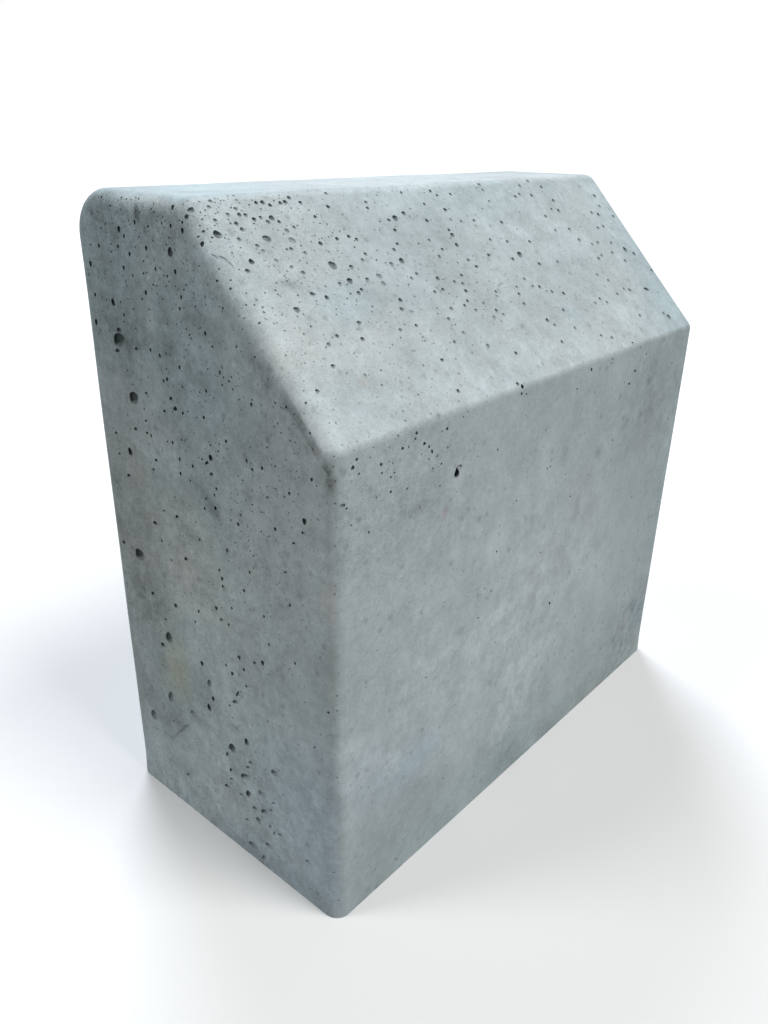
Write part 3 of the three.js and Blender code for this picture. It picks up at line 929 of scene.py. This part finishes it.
# They gather in the broad clouds and the grit, and low on the left-hand end they are rare.
IN_CLOUDS = 1.5
IN_GRIT = 1.2
RARE = [(95, 250, 110, 90, 0, -0.45)]
commonness = plus(by_face(1.0, road=0.9), corner_grit, IN_GRIT)
commonness = plus(commonness, left_end, marks(end_grid, RARE))
for spacing, share, begins, full, darkness in PORES:
    cells = tree.nodes.new("ShaderNodeTexVoronoi")
    feed(cells.inputs["Vector"], place)
    cells.inputs["Scale"].default_value = 1 / (spacing * MM)
    luck = tree.nodes.new("ShaderNodeSeparateColor")
    feed(luck.inputs[0], cells.outputs["Color"])
    size = plus(SMALLEST_SPECK, luck.outputs[0], SPECK_RANGE)
    speck = between(maths("DIVIDE", cells.outputs["Distance"], size), begins, full)
    chosen = maths("LESS_THAN", luck.outputs[1], times(plus(share, broad, IN_CLOUDS), commonness))
    tone = times(tone, plus(1.0, times(speck, chosen), -darkness))

# Inside the holes the tone is darkened: painted shade, with some grime.
hole_shade_and_grime_node = tree.nodes.new("ShaderNodeAttribute")
hole_shade_and_grime_node.attribute_name = hole_shade_and_grime.name
tone = times(tone, plus(1.0, hole_shade_and_grime_node.outputs["Fac"], by_face(-HOLE_SHADE_AND_GRIME, splay=-SPLAY_HOLE_SHADE_AND_GRIME)))

# The hue goes from bluish at 0 to sandy at 1. It varies most on the ends and least on the road
# face, and the top is bluish at its left. Warm marks are sandy above zero and bluish below it.
MIDDLE_HUE = 0.5
TOP_LEFT_HUE = -0.4
SPLAY_WARMTH = [
    (44, 54, 24, 15, 0, -0.5), (187, 82, 11, 9, 0, -0.4), (180, 6, 180, 26, 0, -0.3),
    (298, 60, 40, 110, 0, -0.5), (32, 87, 4, 4, 0, 0.6), (30, 66, 70, 26, 0, 0.3),
    (290, 95, 60, 50, 0, -0.4), (150, 40, 160, 40, 0, -0.15),
]
END_WARMTH = [
    (20, 22, 34, 40, 0, -0.6), (122, 230, 34, 30, 0, -0.2), (90, 292, 70, 20, 0, -0.25),
    (35, 45, 60, 55, 0, -0.25), (27, 117, 11, 14, 0, 0.4), (37, 137, 10, 10, 0, 0.35),
    (60, 155, 11, 11, 0, 0.35), (43, 218, 15, 11, 0, 0.2), (33, 227, 5, 5, 0, 0.4),
    (149, 138, 8, 16, 0, 0.7), (130, 110, 60, 120, 0, 0.25), (75, 70, 55, 66, 0, -0.35),
    (90, 250, 70, 50, 0, -0.25), (45, 160, 60, 70, 0, 0.2), (150, 190, 6, 70, 0, 0.4),
    (32, 12, 40, 20, 0, -0.5),
]
ROAD_WARMTH = [
    (48, 162, 40, 16, 0, -0.4), (283, 188, 14, 18, 0, -0.7), (300, 80, 40, 140, 0, -0.3),
    (165, 85, 90, 50, 0, 0.12), (120, 215, 220, 40, 0, -0.3),
]
hue = plus(MIDDLE_HUE, clouds(55, detail=4, rough=0.6), by_face(0.7, road=0.35, end=1.3))
hue = plus(hue, top_left, TOP_LEFT_HUE)
hue = maths("ADD", hue, on_faces(SPLAY_WARMTH, END_WARMTH, ROAD_WARMTH))
tint = tree.nodes.new("ShaderNodeMix")
tint.data_type = "RGBA"
feed(tint.inputs["Factor"], hue)
tint.inputs["A"].default_value = BLUISH
tint.inputs["B"].default_value = SANDY

# A violet tinge, which is yellow below zero: at the foot of the end and low on the left of the road
# face it paints bluish light thrown up from the floor, and yellow stains have run on the end. The road
# face has two pink specks.
END_VIOLET_LIGHT_AND_STAIN = [
    (150, 262, 66, 80, 0, 0.8), (90, 300, 60, 26, 0, 0.4), (44, 216, 17, 26, 0, -1.6),
    (40, 150, 90, 80, 0, -0.45), (8, 45, 34, 34, 0, -0.3),
]
ROAD_VIOLET_LIGHT = [(58, 158, 26, 18, 0, 0.5), (20, 154, 24, 34, 0, 0.5), (44, 170, 24, 16, 0, 0.4)]
ROAD_PINK = [(65, 42, 4.5, 4.5, 0, 1.3), (119, 176, 3, 3, 0, 0.7)]
# The violet tinge is partly painted bounce light from the floor and partly yellow stains.
violet_light_and_stain = scaled(VIOLET, on_faces([], END_VIOLET_LIGHT_AND_STAIN, ROAD_VIOLET_LIGHT))
pink = scaled(PINK, times(road_face, marks(road_grid, ROAD_PINK)))
colour = vector_maths("MULTIPLY", tint.outputs["Result"], CEMENT)
for tinge in (violet_light_and_stain, pink):
    colour = vector_maths("MULTIPLY_ADD", colour, tinge, colour)
colour = scaled(colour, tone)

shader = tree.nodes["Principled BSDF"]
feed(shader.inputs["Base Color"], colour)
feed(shader.inputs["Roughness"], plus(DULL, fine, DULL_RANGE))
shader.inputs["Specular IOR Level"].default_value = 0.25
relief = tree.nodes.new("ShaderNodeBump")
relief.inputs["Distance"].default_value = RELIEF
feed(relief.inputs["Height"], fine)
feed(shader.inputs["Normal"], relief.outputs[0])
kerb.data.materials.clear()
kerb.data.materials.append(concrete)

only(kerb)
bpy.ops.object.shade_smooth_by_angle(angle=SHARPEST)
steady = kerb.modifiers.new("steady shading", "WEIGHTED_NORMAL")
steady.keep_sharp = True
bpy.ops.object.modifier_apply(modifier=steady.name)
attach(kerb, "root")
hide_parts("kerb_stone")


# ----------------------------------------
# Floor and light
# A plain pale floor, white to the camera. The light is soft: an even sky, a bluish
# window behind on the right, a pale ceiling above on the side of the road, and
# faint light from a doorway behind on the left.

FLOOR_SIZE = 20
FLOOR_SEEN = (0.8, 0.8, 0.8, 1)
FLOOR_LIT = (0.19, 0.2, 0.2, 1)
SKY_SEEN = (1, 1, 1, 1)
SKY = (0.975, 1, 0.99, 1)
SKY_STRENGTH = 0.24


def seen_directly():
    """1 for what the camera sees, also by reflection or through glass, and 0 for light on things."""
    rays = tree.nodes.new("ShaderNodeLightPath")
    glossy = maths("MAXIMUM", rays.outputs["Is Glossy Ray"], rays.outputs["Is Transmission Ray"])
    return maths("MAXIMUM", rays.outputs["Is Camera Ray"], glossy)


def soft_light(name, towards, amount, spread, colour):
    """A broad lamp far off in one direction. At an amount of 1, white that faces it is just white."""
    data = bpy.data.lights.new(name, "SUN")
    data.energy = math.pi * amount
    data.angle = math.radians(spread)
    data.color = colour
    lamp = bpy.data.objects.new(name, data)
    bpy.context.collection.objects.link(lamp)
    lamp.rotation_euler = Vector(towards).to_track_quat("Z", "Y").to_euler()


bpy.ops.object.select_all(action="DESELECT")
bpy.ops.mesh.primitive_plane_add(size=FLOOR_SIZE, location=(0, 0, 0))
floor = bpy.context.object
floor.name = "floor"
floor_paint = bpy.data.materials.new("floor")
floor_paint.use_nodes = True
tree = floor_paint.node_tree
shade = tree.nodes.new("ShaderNodeMix")
shade.data_type = "RGBA"
shade.inputs["A"].default_value = FLOOR_LIT
shade.inputs["B"].default_value = FLOOR_SEEN
feed(shade.inputs["Factor"], seen_directly())
feed(tree.nodes["Principled BSDF"].inputs["Base Color"], shade.outputs["Result"])
tree.nodes["Principled BSDF"].inputs["Roughness"].default_value = 0.9
floor.data.materials.append(floor_paint)

world = bpy.data.worlds.new("world")
bpy.context.scene.world = world
world.use_nodes = True
tree = world.node_tree
sky = tree.nodes["Background"]
sky.inputs["Color"].default_value = SKY
sky.inputs["Strength"].default_value = SKY_STRENGTH
white = tree.nodes.new("ShaderNodeBackground")
white.inputs["Color"].default_value = SKY_SEEN
white.inputs["Strength"].default_value = 1
both = tree.nodes.new("ShaderNodeMixShader")
feed(both.inputs[0], seen_directly())
feed(both.inputs[1], sky.outputs[0])
feed(both.inputs[2], white.outputs[0])
feed(tree.nodes["World Output"].inputs[0], both.outputs[0])

soft_light("window", (0.44, 0.62, 0.65), amount=0.66, spread=30, colour=(0.93, 1.0, 1.12))
soft_light("ceiling", (0.17, -0.57, 0.81), amount=0.70, spread=30, colour=(1, 1, 0.985))
soft_light("doorway", (-0.48, 0.37, 0.79), amount=0.28, spread=18, colour=(0.97, 1, 1.0))

bpy.context.scene.view_settings.view_transform = "Standard"
